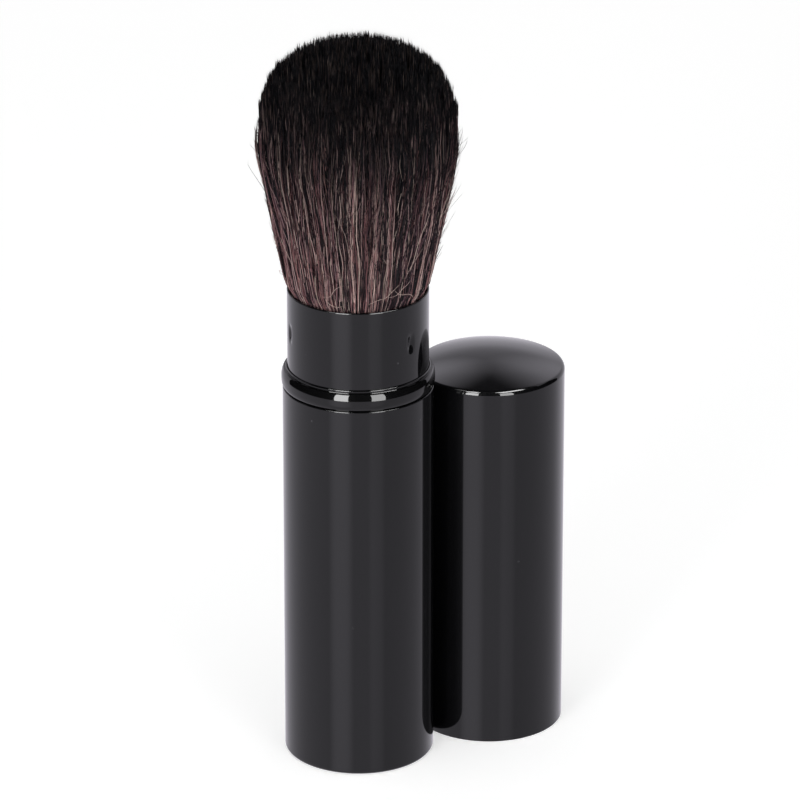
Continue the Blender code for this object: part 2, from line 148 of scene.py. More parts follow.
def shown_to_eye(nodes, link):
    """1 for rays that see the background: from the camera, a reflection or glass."""
    path = nodes.new("ShaderNodeLightPath")
    seen = [path.outputs[name] for name in ("Is Camera Ray", "Is Glossy Ray", "Is Transmission Ray")]
    return combined(nodes, link, "MAXIMUM", seen)


# Materials
LACQUER_IOR = 1.45
LACQUER_GLOSS = 0.40
HAZE_ROUGHNESS = 0.32
DUST_COLOUR = (0.05, 0.05, 0.055)
DUST_CELL_SCALE = 420.0
DUST_RARITY_SCALE = 160.0
FINE_RELIEF = 0.02 * MM
GLUE_RELIEF = 0.1 * MM
AMBER_DARK = (0.22, 0.13, 0.05)
AMBER_PALE = (0.38, 0.26, 0.12)

# A hair's brown by its tone, with warmer and cooler browns in turn
BROWN_BY_TONE = [
    (0.00, (0.006, 0.005, 0.007)),
    (0.24, (0.016, 0.011, 0.014)),
    (0.34, (0.056, 0.020, 0.024)),
    (0.42, (0.088, 0.048, 0.062)),
    (0.50, (0.175, 0.069, 0.072)),
    (0.58, (0.196, 0.112, 0.136)),
    (0.66, (0.302, 0.134, 0.134)),
    (0.74, (0.345, 0.200, 0.222)),
    (0.82, (0.480, 0.242, 0.226)),
    (0.90, (0.650, 0.455, 0.435)),
    (1.00, (0.860, 0.680, 0.590)),
]

# The dyed end of the same hair
BLACK_BY_TONE = [
    (0.0, (0.0014, 0.0015, 0.0026)),
    (0.6, (0.0034, 0.0032, 0.0050)),
    (0.9, (0.0085, 0.0066, 0.0085)),
    (1.0, (0.0600, 0.0420, 0.0370)),
]

# How much of the dye a hair has at each share of the tuft's height
DYE_BY_RISE = [
    (0.05, 0.03), (0.14, 0.09), (0.24, 0.00), (0.31, 0.09), (0.38, 0.22),
    (0.46, 0.46), (0.54, 0.71), (0.62, 0.88), (0.72, 0.97), (0.85, 1.0),
]


def dusted(nodes, link, coords, tint):
    """A tint with a few rare grey specks of dust on it."""
    cells = nodes.new("ShaderNodeTexVoronoi")
    cells.inputs["Scale"].default_value = DUST_CELL_SCALE
    link(coords, cells.inputs["Vector"])
    rare = noise(nodes, link, coords, DUST_RARITY_SCALE, detail=2.0)
    near = spread(nodes, link, cells.outputs["Distance"], 0.05, 0.09, start=1.0, end=0.0)
    some = spread(nodes, link, rare, 0.66, 0.70)
    speck = combined(nodes, link, "MULTIPLY", [near, some])
    return mixed(nodes, link, speck, tint, DUST_COLOUR)


def lacquer(name, rough_low, rough_high, colour, haze, dust=True):
    """Gloss black lacquer: near black, faintly uneven and hazy, with drawn lines and a little dust."""
    made, nodes, link, shader = material(name)
    coords = nodes.new("ShaderNodeTexCoord").outputs["Object"]
    smudge = noise(nodes, link, coords, scale=90.0, detail=4.0, rough=0.6, stretch=(1.0, 1.0, 0.35))
    drawn = noise(nodes, link, coords, scale=900.0, detail=2.0, stretch=(1.0, 1.0, 0.02))
    link(spread(nodes, link, smudge, 0.35, 0.7, rough_low, rough_high), shader.inputs["Roughness"])
    paler = tuple(1.7 * c for c in colour)
    tint = ramp(nodes, link, smudge, [(0.3, colour), (0.75, paler)])
    if dust:
        tint = dusted(nodes, link, coords, tint)
    link(tint, shader.inputs["Base Color"])
    shader.inputs["IOR"].default_value = LACQUER_IOR
    shader.inputs["Specular IOR Level"].default_value = LACQUER_GLOSS
    shader.inputs["Coat Weight"].default_value = haze
    shader.inputs["Coat Roughness"].default_value = HAZE_ROUGHNESS
    shader.inputs["Coat IOR"].default_value = LACQUER_IOR
    bump(nodes, link, drawn, strength=0.010, distance=FINE_RELIEF, shader=shader)
    return made


def moulded(name, colour, roughness, grain_scale=1400.0, grain=0.12):
    """Moulded plastic or rubber: a fine spark-eroded grain and faint flow marks."""
    made, nodes, link, shader = material(name)
    coords = nodes.new("ShaderNodeTexCoord").outputs["Object"]
    flow = noise(nodes, link, coords, scale=120.0, stretch=(1.0, 1.0, 0.3))
    fine = noise(nodes, link, coords, grain_scale, detail=2.0)
    darker = tuple(0.86 * c for c in colour)
    link(ramp(nodes, link, flow, [(0.35, darker), (0.65, colour)]), shader.inputs["Base Color"])
    uneven = spread(nodes, link, flow, 0.3, 0.7, roughness - 0.06, roughness + 0.06)
    link(uneven, shader.inputs["Roughness"])
    bump(nodes, link, fine, grain, FINE_RELIEF, shader)
    return made


def metal(name, colour, roughness, turned_on_lathe):
    """Bare metal, with lathe lines round it or draw lines along it."""
    made, nodes, link, shader = material(name)
    coords = nodes.new("ShaderNodeTexCoord").outputs["Object"]
    stretch = (0.04, 0.04, 1.0) if turned_on_lathe else (1.0, 1.0, 0.03)
    lines = noise(nodes, link, coords, scale=1500.0, rough=0.6, stretch=stretch)
    cloud = noise(nodes, link, coords, scale=150.0, detail=4.0, rough=0.6)
    darker = tuple(0.75 * c for c in colour)
    link(ramp(nodes, link, cloud, [(0.3, darker), (0.7, colour)]), shader.inputs["Base Color"])
    uneven = spread(nodes, link, lines, 0.3, 0.7, roughness - 0.08, roughness + 0.1)
    link(uneven, shader.inputs["Roughness"])
    shader.inputs["Metallic"].default_value = 1.0
    bump(nodes, link, lines, strength=0.25, distance=FINE_RELIEF, shader=shader)
    return made


def glue(name):
    """Amber resin, slightly clouded."""
    made, nodes, link, shader = material(name)
    coords = nodes.new("ShaderNodeTexCoord").outputs["Object"]
    cloud = noise(nodes, link, coords, scale=260.0, detail=4.0, rough=0.6)
    amber = ramp(nodes, link, cloud, [(0.3, AMBER_DARK), (0.7, AMBER_PALE)])
    link(amber, shader.inputs["Base Color"])
    link(spread(nodes, link, cloud, 0.3, 0.7, start=0.18, end=0.35), shader.inputs["Roughness"])
    bump(nodes, link, cloud, strength=0.2, distance=GLUE_RELIEF, shader=shader)
    return made


def hair_material():
    """Dyed goat hair: black over its upper half, brown below, with some pale hairs.

    Each strand carries its tone and how far up the tuft a point lies.
    """
    made, nodes, link, shader = material("dyed_hair")
    tone = nodes.new("ShaderNodeAttribute")
    tone.attribute_name = "tone"
    rise = nodes.new("ShaderNodeAttribute")
    rise.attribute_name = "rise"
    brown = ramp(nodes, link, tone.outputs["Fac"], BROWN_BY_TONE)
    black = ramp(nodes, link, tone.outputs["Fac"], BLACK_BY_TONE)
    grey_stops = [(place, (share, share, share)) for place, share in DYE_BY_RISE]
    dyed = ramp(nodes, link, rise.outputs["Fac"], grey_stops)
    link(mixed(nodes, link, dyed, brown, black), shader.inputs["Base Color"])
    rough = spread(nodes, link, tone.outputs["Fac"], 0.0, 1.0, start=0.50, end=0.38)
    link(rough, shader.inputs["Roughness"])
    gloss = spread(nodes, link, rise.outputs["Fac"], 0.25, 0.80, start=0.12, end=0.03)
    link(gloss, shader.inputs["Specular IOR Level"])
    return made


# Turned pieces
def arc(centre_r, centre_z, radius_r, radius_z, start_deg, end_deg, steps):
    """Points of an elliptical arc in the (radius, height) plane, both ends included."""
    points = []
    for step in range(steps + 1):
        angle = math.radians(start_deg + (end_deg - start_deg) * step / steps)
        points.append((centre_r + radius_r * math.cos(angle), centre_z + radius_z * math.sin(angle)))
    return points


def turned(name, profile, count, place_point=None, centre=(0.0, 0.0)):
    """Turn a closed profile of (radius, height) points into a smooth named piece."""
    built = bmesh.new()
    rows = []
    for radius, height in profile:
        if radius == 0:
            rows.append([built.verts.new((centre[0], centre[1], height))])
            continue
        row = []
        for step in range(count):
            angle = 2 * math.pi * step / count
            reach = radius if place_point is None else place_point(radius, height, angle)
            row.append(built.verts.new((
                centre[0] + reach * math.cos(angle), centre[1] + reach * math.sin(angle), height)))
        rows.append(row)
    for index, row in enumerate(rows):
        following = rows[(index + 1) % len(rows)]
        if len(row) == 1 and len(following) == 1:
            continue
        for step in range(count):
            nearby = (step + 1) % count
            if len(row) == 1:
                built.faces.new((row[0], following[step], following[nearby]))
            elif len(following) == 1:
                built.faces.new((row[nearby], row[step], following[0]))
            else:
                built.faces.new((row[nearby], row[step], following[step], following[nearby]))
    bmesh.ops.recalc_face_normals(built, faces=built.faces)
    mesh = bpy.data.meshes.new(name)
    built.to_mesh(mesh)
    built.free()
    mesh.shade_smooth()
    mesh.set_sharp_from_angle(angle=math.radians(SHARP_DEG))
    piece = bpy.data.objects.new(name, mesh)
    bpy.context.scene.collection.objects.link(piece)
    return piece


def dress(piece, look, body, node):
    """Give a rebuilt piece its look and its body, and hide the frame's node that it stands in for."""
    piece.data.materials.append(look)
    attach(piece, body)
    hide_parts(node)


def radius_of(node):
    """Half the width of a round node."""
    low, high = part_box(node)
    return (high[0] - low[0]) / 2


# Sizes that come from the frame
HANDLE_R = radius_of("handle_tube")
HANDLE_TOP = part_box("handle_tube")[1][2]
BEAD_R = radius_of("collar")
SPIGOT_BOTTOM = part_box("collar")[0][2]
BEAD_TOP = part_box("collar")[1][2]
SLEEVE_R = radius_of("sleeve_tube")
SLEEVE_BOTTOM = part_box("sleeve_tube")[0][2]
SLEEVE_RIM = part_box("sleeve_tube")[1][2]
CAP_LOW, CAP_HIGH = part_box("cap_shell")
CAP_R = (CAP_HIGH[0] - CAP_LOW[0]) / 2
CAP_CENTRE = ((CAP_LOW[0] + CAP_HIGH[0]) / 2, (CAP_LOW[1] + CAP_HIGH[1]) / 2)
TUFT_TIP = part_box("bristles")[1][2]

# Walls, rounds and fits of the tubes
WALL = 0.35 * MM
CORNER = 0.6 * MM
EDGE_ROUND = 0.12 * MM
FLOOR = 0.8 * MM
BASE_RING_SHARE = 0.6
CAP_CORNER = 0.9 * MM
CAP_DOME_RISE = 2.0 * MM
BEAD_HEIGHT = 3.3 * MM
BEAD_ROUND = 1.85 * MM
BEAD_LIP = 0.04 * MM
BEAD_FOOT = 1.0 * MM
BEAD_FOOT_REACH = 0.3 * MM
LIP_ROUND = 0.14 * MM
LIP_STEP = 0.17 * MM
LIP_SHELF_DEG = 55
SLEEVE_WALL = 0.4 * MM
SLEEVE_EDGE = 0.14 * MM
SLEEVE_BORE = SLEEVE_R - SLEEVE_WALL
SLEEVE_IN_COLLAR = 4 * MM
COLLAR_BORE = SLEEVE_R + 0.1 * MM
SPIGOT_R = HANDLE_R - WALL - 0.1 * MM

# A row this far from a round keeps its shading even
HOLD = 0.03 * MM

# How finely the tubes are turned
AROUND = 192
SLEEVE_AROUND = 360
ROUND_STEPS = 16
DOME_STEPS = 24
SHARP_DEG = 30.0

# Crimp dimples of the sleeve
DIMPLE_CENTRE = SLEEVE_RIM - 6.8 * MM
DIMPLE_HEIGHT = 4.2 * MM
DIMPLE_WIDTH = 1.9 * MM
DIMPLE_DEPTH = 0.32 * MM
DIMPLE_START = math.radians(-42.0)
DIMPLE_SPACING = 2 * math.pi / 3
DIMPLE_ROWS = 28


def make_handle(look):
    """Drawn handle tube with a rounded foot and a broken rim."""
    corner = HANDLE_R - CORNER
    inner = CORNER - WALL
    rim = HANDLE_TOP - EDGE_ROUND
    profile = [(0, 0), (corner * BASE_RING_SHARE, 0)]
    profile += arc(corner, CORNER, CORNER, CORNER, -90, 0, ROUND_STEPS)
    profile += [(HANDLE_R, CORNER + HOLD), (HANDLE_R, HANDLE_TOP / 2), (HANDLE_R, rim - HOLD)]
    profile += arc(HANDLE_R - EDGE_ROUND, rim, EDGE_ROUND, EDGE_ROUND, 0, 90, steps=5)
    profile += [(HANDLE_R - WALL, HANDLE_TOP), (HANDLE_R - WALL, HANDLE_TOP / 2)]
    profile += arc(corner, FLOOR + inner, inner, inner, 0, -90, steps=4)
    profile.append((0, FLOOR))
    dress(turned("handle_shell", profile, AROUND), look, "handle", "handle_tube")


def make_bead(look):
    """Rounded bead of the collar, with its spigot and the small lip that the sleeve slides in."""
    bottom = BEAD_TOP - BEAD_HEIGHT
    lip = COLLAR_BORE + BEAD_LIP
    base = BEAD_TOP - BEAD_ROUND
    foot_r = BEAD_R - BEAD_FOOT_REACH
    profile = [(COLLAR_BORE, BEAD_TOP), (COLLAR_BORE, SPIGOT_BOTTOM)]
    profile += [(SPIGOT_R, SPIGOT_BOTTOM), (SPIGOT_R, bottom)]
    profile += arc(foot_r, bottom + BEAD_FOOT, BEAD_FOOT_REACH, BEAD_FOOT, -90, 0, steps=14)
    profile += arc(lip, base, BEAD_R - lip, BEAD_ROUND - LIP_STEP, 0, LIP_SHELF_DEG, steps=24)
    shelf = profile[-1][1]
    profile += [(lip + LIP_ROUND + HOLD, shelf), (lip + LIP_ROUND, shelf + HOLD)]
    profile += [(lip + LIP_ROUND, BEAD_TOP - LIP_ROUND - HOLD)]
    profile += arc(lip, BEAD_TOP - LIP_ROUND, LIP_ROUND, LIP_ROUND, 0, 90, steps=10)
    dress(turned("collar_bead", profile, AROUND), look, "handle", "collar")


def dimpled(radius, height, angle):
    """Radius of a sleeve point, pressed inwards where a crimp dimple is."""
    away = (angle - DIMPLE_START) % DIMPLE_SPACING
    away = min(away, DIMPLE_SPACING - away)
    across = SLEEVE_R * math.sin(away) / (DIMPLE_WIDTH / 2)
    along = (height - DIMPLE_CENTRE) / (DIMPLE_HEIGHT / 2)
    fade = max(1 - across ** 2, 0) * max(1 - along ** 2, 0)
    return radius - DIMPLE_DEPTH * fade ** 2


def make_sleeve(look):
    """Thin sleeve with its crimp dimples and rolled rim."""
    rows = [
        DIMPLE_CENTRE + DIMPLE_HEIGHT * (step / DIMPLE_ROWS - 0.5) for step in range(DIMPLE_ROWS + 1)]
    edge = SLEEVE_EDGE
    top = SLEEVE_RIM - edge
    profile = [(SLEEVE_BORE, SLEEVE_BOTTOM), (SLEEVE_R, SLEEVE_BOTTOM)]
    profile.append((SLEEVE_R, BEAD_TOP - SLEEVE_IN_COLLAR))
    profile += [(SLEEVE_R, height) for height in rows]
    profile.append((SLEEVE_R, top - HOLD))
    profile += arc(SLEEVE_R - edge, top, edge, edge, 0, 90, steps=6)
    profile += arc(SLEEVE_BORE + edge, top, edge, edge, 90, 180, steps=4)
    profile += [(SLEEVE_BORE, height) for height in reversed(rows)]
    sleeve = turned("sleeve_shell", profile, SLEEVE_AROUND, dimpled)
    dress(sleeve, look, "sleeve", "sleeve_tube")


def cap_outline(radius, fillet, steps):
    """Outer or inner half outline of the cap's closed end, from the wall to the axis."""
    centre = CAP_R - CAP_CORNER
    slope = 2 * math.atan(CAP_DOME_RISE / centre)
    dome_r = (centre + CAP_CORNER * math.sin(slope)) / math.sin(slope)
    shoulder = CAP_HIGH[2] - (CAP_CORNER * math.cos(slope) - dome_r * math.cos(slope) + dome_r)
    points = arc(centre, shoulder, fillet, fillet, 0, 90 - math.degrees(slope), steps)
    dome_centre = shoulder + CAP_CORNER * math.cos(slope) - dome_r * math.cos(slope)
    dome = dome_r - (CAP_R - radius)
    for step in range(1, DOME_STEPS):
        angle = slope * (1 - step / DOME_STEPS)
        points.append((dome * math.sin(angle), dome_centre + dome * math.cos(angle)))
    points.append((0, dome_centre + dome))
    return points


def make_cap(look):
    """Drawn cap with a tight corner and a shallow dome."""
    edge = EDGE_ROUND
    outer = cap_outline(CAP_R, CAP_CORNER, ROUND_STEPS)
    inner = cap_outline(CAP_R - WALL, CAP_CORNER - WALL, steps=4)
    profile = [(CAP_R - WALL, 0.0)]
    profile += arc(CAP_R - edge, edge, edge, edge, -90, 0, steps=4)
    profile += [(CAP_R, edge + HOLD), (CAP_R, CAP_HIGH[2] / 2), (CAP_R, outer[0][1] - HOLD)]
    profile += outer
    profile += list(reversed(inner))
    profile.append((CAP_R - WALL, CAP_HIGH[2] / 2))
    cap = turned("cap_shell_smooth", profile, AROUND, centre=CAP_CENTRE)
    dress(cap, look, "cap", "cap_shell")


# Form of the tuft
WEDGES = 12
SQUEEZE = 0.60
TUFT_R = 16.15 * MM
TUFT_SHOULDER = 107.8 * MM
MOUTH_R = 11.2 * MM
SIDE_BOW = 0.277
RIM_SWELL = 0.36 * MM
RIM_SWELL_RISE = 1.6 * MM
RIM_SWELL_REACH = 5.0 * MM
DOME_POWER = 2.72
DOME_SINK = 0.1 * MM
HAIR_ROOT = 73.2 * MM
ROOT_R = 8.4 * MM
THROAT_R = 11.05 * MM
HELD_R = 11.12 * MM
HELD_OVER_RIM = 0.6 * MM
FARTHEST_HAIR = 18.2 * MM
RAISED_CLEARANCE = 0.12 * MM
TINY = 1e-9

# Hairs of the body, of the outer coat and in its wavy locks
HAIR_COUNTS = (7000, 9500, 1500)
HAIR_SEED = 41
BODY_KNOTS = 6
BODY_REACH = 0.92
BODY_WIDTH = (0.14 * MM, 0.19 * MM)
BODY_FRINGE = 0.5 * MM
COAT_KNOTS = 15
COAT_AREA = (0.60, 1.0)
COAT_WIDTH = (0.09 * MM, 0.145 * MM)
COAT_FRINGE = 0.7 * MM
COAT_LOOSE = 0.036
LOCK_KNOTS = 22
LOCK_AREA = (0.90, 1.0)
LOCK_WIDTH = (0.10 * MM, 0.18 * MM)

# This point of a hair tells which wedge it is in
WEDGE_KNOT = 3

# Clumps that the hairs bunch in
CLUMPS = 1600
CLUMP_BATCH = 2000
CLUMP_JITTER = 0.3
CLUMP_TONE = 0.405
CLUMP_TONE_SPREAD = 0.14
CLUMP_TONE_LIMITS = (0.02, 0.85)
CLUMP_DROP = 0.17 * MM
CLUMP_LEAN = 0.05
CLUMP_SHIFT = 0.035

# How a hair runs
LAST_FREE_KNOT = 0.97
GATHER = (0.50, 0.80)
GATHER_POWER = 1.4
TWIST = 0.045
OUTERMOST_SHARE = 0.999
TALL_TIP = 0.85 * MM
TALL_TIP_RARITY = 7
LOOSE_POWER = 1.3
FREE_LENGTH = 9 * MM
WANDER = 0.32 * MM
WANDER_PITCH_X = 5.2 * MM
WANDER_PITCH_Y = 6.1 * MM
WANDER_LAG = 1.7
PLAIN_SWAY = (0.04 * MM, 0.19 * MM)
LOCK_SWAY = (0.08 * MM, 0.30 * MM)
LOW_SWAY = 0.35
SWAY_PITCH = (1.0 * MM, 2.1 * MM)
SWAY_SIDEWAYS = 1.25
SWAY_OUTWARD = 0.35
SWAY_LAG = 2.3
HAIR_LEAN = 0.012
LEAN_REACH = 10 * MM
LEAN_TURN = 1.3
TAPER_SHARE = 0.16
TIP_WIDTH = 0.62

# How hairs differ in colour
HAIR_TONES = 32
# Painted light and shade round the tuft: paler in front and behind, darker at the sides
PAINTED_LIGHT_TONE = 0.05
LOBE_TONE = 0.04
LOBES = 5
TONE_SPREAD = 0.49
SHIFT_SPREAD = 0.065
SHIFT_BY_TONE = 0.22
# A patch of painted shade: darker tone at the tuft's right front, where the brown also reaches higher
PAINTED_SHADE_SIDE = -0.70
PAINTED_SHADE_REACH = 0.46
PAINTED_SHADE_TONE = 0.20
PAINTED_SHADE_SHIFT = 0.06
PLAIN_TONE_LIMIT = 0.88
PALE_ABOVE = 0.935
PALE_TONE = (0.90, 1.0)
PALE_WIDTH = 1.3
DARK_LOCKS = 0.54
# More dark locks within the patch of painted shade
PAINTED_SHADE_DARK_LOCKS = 0.22
DARK_LOCK_TONE = (0.06, 0.30)
LIGHT_LOCK_TONE = (0.60, 1.0)
LIGHT_LOCK_RARITY = 1.4
TONE_BLUR = 0.3
RISE_MARGIN = 0.002

# Single hairs that leave the tuft's sides
STRAY_KNOTS = 10
STRAY_BEARING_SPREAD = 0.75
STRAY_START = (3 * MM, 23 * MM)
STRAY_OVER_SHOULDER = 1 * MM
STRAY_LEAN = 3.5 * MM
STRAY_BEND_POWER = 1.3
STRAY_TURN = 0.12
STRAY_WOBBLE = 0.010
STRAY_WOBBLE_PITCH = 1.3 * MM
STRAY_WOBBLE_PHASE = 6
STRAY_WIDTH = (0.07 * MM, 0.12 * MM)
STRAY_TAPER = 0.45
STRAY_DARK_TONE = (0.1, 0.6)
STRAY_PALE_TONE = (0.88, 1.0)
STRAY_SHIFT = 0.05

# Pale hairs loose over the rim: bearing and turn in degrees, start, rise and bow outwards in millimetres
RIM_HAIRS = (
    (-82.0, 26.0, 1.6, 3.0, 1.0),
    (-100.0, -17.0, 0.9, 1.3, 0.9),
    (-66.0, 19.0, 2.6, 2.6, 1.2),
    (-118.0, 20.0, 2.2, 3.4, 0.9),
    (-40.0, -22.0, 1.4, 2.4, 1.0),
    (60.0, 24.0, 1.6, 2.8, 1.0),
    (115.0, -20.0, 1.2, 3.0, 0.9),
    (172.0, 22.0, 1.8, 2.2, 1.0),
)
RIM_HAIR_KNOTS = 14
RIM_HAIR_WIDTH = 0.085 * MM
RIM_HAIR_SUNK = 0.4 * MM
RIM_HAIR_RIPPLE = 0.22 * MM
RIM_HAIR_TURN_RIPPLE = 1.1


def envelope(height):
    """Outer radius of the tuft at this height, within the sleeve and over its rim."""
    t = np.clip((height - SLEEVE_RIM) / (TUFT_SHOULDER - SLEEVE_RIM), 0, 1)
    above = MOUTH_R + (TUFT_R - MOUTH_R) * (t + SIDE_BOW * t * (1 - t))
    swell = np.exp(-((height - SLEEVE_RIM - RIM_SWELL_RISE) / RIM_SWELL_REACH) ** 2)
    above += RIM_SWELL * swell * (height > SLEEVE_RIM)
    up_tube = np.clip((height - HAIR_ROOT) / (SLEEVE_RIM - HAIR_ROOT), 0, 1)
    return np.where(height > SLEEVE_RIM, above, ROOT_R + (THROAT_R - ROOT_R) * up_tube)


def dome_height(share):
    """Height of the tuft's top over this share of its radius."""
    rise = (1 - np.clip(share, 0, 1) ** DOME_POWER) ** (1 / DOME_POWER)
    return TUFT_SHOULDER + (TUFT_TIP - DOME_SINK - TUFT_SHOULDER) * rise


def strands(paths, widths):
    """Vertices and faces of three-sided strands along these paths, each closed at both ends."""
    count, knots, _ = paths.shape
    along = np.gradient(paths, axis=1)
    along /= np.linalg.norm(along, axis=2, keepdims=True)
    outward = paths[:, :, :2].mean(axis=1)
    outward = np.concatenate([outward, np.zeros((count, 1))], axis=1)
    outward /= np.maximum(np.linalg.norm(outward, axis=1, keepdims=True), TINY)
    outward = outward[:, None, :] - along * np.sum(outward[:, None, :] * along, axis=2, keepdims=True)
    outward /= np.maximum(np.linalg.norm(outward, axis=2, keepdims=True), TINY)
    sideways = np.cross(along, outward)
    corners = []
    for side in range(3):
        angle = 2 * math.pi * side / 3
        offset = math.cos(angle) * outward + math.sin(angle) * sideways
        corners.append(paths + offset * widths[:, :, None] / 2)
    rings = np.stack(corners, axis=2)[:, :-1]
    body = rings.reshape(count, -1, 3)
    verts = np.concatenate([body, paths[:, -1:, :]], axis=1)
    each = verts.shape[1]
    quads = []
    tris = [(2, 1, 0)]
    for knot in range(knots - 2):
        for side in range(3):
            a = knot * 3 + side
            b = knot * 3 + (side + 1) % 3
            quads.append((a, b, b + 3, a + 3))
    last = (knots - 2) * 3
    for side in range(3):
        tris.append((last + side, last + (side + 1) % 3, each - 1))
    start = (np.arange(count) * each)[:, None, None]
    quads = (np.array(quads)[None] + start).reshape(-1, 4)
    tris = (np.array(tris)[None] + start).reshape(-1, 3)
    return verts.reshape(-1, 3), quads, tris, each


def hair_mesh(name, groups):
    """One mesh from groups of (paths, widths, tones, rise shifts).

    A strand's tone and rise are kept as attributes, and again as the map that a bake reads.
    """
    verts = []
    faces = []
    tones = []
    rises = []
    columns = []
    base = 0
    for paths, widths, tone, shift in groups:
        if not len(paths):
            continue
        points, quads, tris, each = strands(paths, widths)
        verts.append(points)
        faces += (quads + base).tolist() + (tris + base).tolist()
        tones.append(np.repeat(tone, each))
        rise = (points[:, 2] - SLEEVE_RIM) / (TUFT_TIP - SLEEVE_RIM) + np.repeat(shift, each)
        rises.append(np.clip(rise, RISE_MARGIN, 1 - RISE_MARGIN))
        side = np.tile((np.arange(each) % 3 - 1) * TONE_BLUR, len(paths))
        columns.append(np.repeat(tone, each) + side / HAIR_TONES)
        base += len(points)
    verts, tones, rises, columns = (np.concatenate(part) for part in (verts, tones, rises, columns))
    mesh = bpy.data.meshes.new(name)
    mesh.from_pydata(verts.tolist(), [], faces)
    for label, values in (("tone", tones), ("rise", rises)):
        attribute = mesh.attributes.new(label, "FLOAT", "POINT")
        attribute.data.foreach_set("value", values.astype(np.float32))
    corners = np.empty(len(mesh.loops), np.int32)
    mesh.loops.foreach_get("vertex_index", corners)
    layout = mesh.uv_layers.new(name="OFBake")
    placed = np.stack([columns, rises], axis=1)[corners]
    layout.uv.foreach_set("vector", placed.ravel().astype(np.float32))
    mesh.shade_smooth()
    mesh.update()
    piece = bpy.data.objects.new(name, mesh)
    bpy.context.scene.collection.objects.link(piece)
    return piece


def pull_in(paths, reach, limit):
    """Draw points in towards the axis where their reach is past the limit."""
    paths[:, :, :2] *= np.minimum(1.0, limit / np.maximum(reach, TINY))[:, :, None]
    return paths


def keep_in_sleeve(paths):
    """Hold the hairs within the sleeve's bore below and just above its rim."""
    radial = np.hypot(paths[:, :, 0], paths[:, :, 1])
    low = paths[:, :, 2] < SLEEVE_RIM + HELD_OVER_RIM
    return pull_in(paths, radial, np.where(low, HELD_R, FARTHEST_HAIR))


def keep_when_squeezed(paths, middle):
    """Hold a wedge's hairs so that they stay within the raised sleeve when they are drawn in."""
    along = paths[:, :, 0] * math.cos(middle) + paths[:, :, 1] * math.sin(middle)
    across = paths[:, :, 1] * math.cos(middle) - paths[:, :, 0] * math.sin(middle)
    return pull_in(paths, np.hypot(SQUEEZE * along, across), SLEEVE_BORE - RAISED_CLEARANCE)


def between(random, shape, ends, power=1):
    """Random values between two ends, crowded towards the first by a power over 1."""
    low, high = ends
    return low + (high - low) * random.random(shape) ** power


def make_clumps(random):
    """Where the hairs bunch, with the tone, lean and ragged height of each bunch."""
    step = np.arange(CLUMPS)
    share = np.sqrt((step + 0.5) / CLUMPS)
    golden_turn = 3 - math.sqrt(5)
    jitter = CLUMP_JITTER * random.normal(size=CLUMPS) / np.sqrt(step + 1)
    angle = step * math.pi * golden_turn + jitter
    tone = CLUMP_TONE + CLUMP_TONE_SPREAD * random.normal(size=CLUMPS)
    return {
        "x": share * np.cos(angle),
        "y": share * np.sin(angle),
        "tone": np.clip(tone, *CLUMP_TONE_LIMITS),
        "lean": CLUMP_LEAN * random.normal(size=CLUMPS),
        "phase": random.random(CLUMPS) * 2 * math.pi,
        "drop": CLUMP_DROP * random.normal(size=CLUMPS),
        "shift": CLUMP_SHIFT * random.normal(size=CLUMPS),
    }


def clump_owner(x, y, clumps):
    """The nearest clump of each hair, found for a batch of hairs at a time."""
    owner = np.empty(len(x), int)
    for start in range(0, len(x), CLUMP_BATCH):
        part = slice(start, start + CLUMP_BATCH)
        away = (x[part, None] - clumps["x"]) ** 2 + (y[part, None] - clumps["y"]) ** 2
        owner[part] = np.argmin(away, axis=1)
    return owner


def painted_shade(side):
    """How far a hair at this bearing lies in the patch of painted shade at the tuft's right front."""
    return np.exp(-((side - PAINTED_SHADE_SIDE) / PAINTED_SHADE_REACH) ** 2)


def gathered(x, y, clumps, owner, random):
    """Where each hair's tip lies over the tuft: drawn towards its clump and turned a little."""
    clump_x = clumps["x"][owner]
    clump_y = clumps["y"][owner]
    gather = between(random, len(x), GATHER)
    near_x = clump_x + (x - clump_x) * (1 - gather)
    near_y = clump_y + (y - clump_y) * (1 - gather)
    twist = TWIST * random.normal(size=len(x))
    tip_x = near_x * np.cos(twist) - near_y * np.sin(twist)
    tip_y = near_x * np.sin(twist) + near_y * np.cos(twist)
    return tip_x, tip_y


def tip_heights(tip_x, tip_y, clumps, owner, fringe, random):
    """How high each hair ends: at the dome, ragged by its clump and its own fringe, rarely standing out."""
    count = len(tip_x)
    top = dome_height(np.minimum(np.hypot(tip_x, tip_y), OUTERMOST_SHARE))
    top += clumps["drop"][owner] - fringe * random.random(count) ** 2
    top += TALL_TIP * random.random(count) ** TALL_TIP_RARITY
    return top


def wave(px, py, height, side, phase, sway_size, random):
    """Points moved as each clump wanders as one and each hair waves on its own, mostly sideways."""
    count = len(px)
    free = np.clip((height - SLEEVE_RIM) / FREE_LENGTH, 0, 1)
    px = px + WANDER * free * np.sin(height / WANDER_PITCH_X + phase)
    py = py + WANDER * free * np.cos(height / WANDER_PITCH_Y + WANDER_LAG * phase)
    own = random.random((count, 1)) * 2 * math.pi
    pitch = between(random, (count, 1), SWAY_PITCH)
    sway = between(random, (count, 1), sway_size, power=2) * (LOW_SWAY + (1 - LOW_SWAY) * free)
    across = SWAY_SIDEWAYS * sway * np.sin(height / pitch + own)
    outward = SWAY_OUTWARD * sway * np.cos(height / pitch + SWAY_LAG * own)
    sway_x = outward * np.cos(side)[:, None] - across * np.sin(side)[:, None]
    sway_y = outward * np.sin(side)[:, None] + across * np.cos(side)[:, None]
    return px + sway_x, py + sway_y


def broad_tone(side):
    """Slow changes of tone round the tuft: painted light and shade that leave it paler in front and behind
    and darker at the sides, five lobes, and the patch of painted shade at the right front.
    """
    painted_light_and_shade = PAINTED_LIGHT_TONE * np.cos(2 * (side + math.pi / 2))
    lobes = LOBE_TONE * np.sin(LOBES * side + 1.0)
    return painted_light_and_shade + lobes - PAINTED_SHADE_TONE * painted_shade(side)


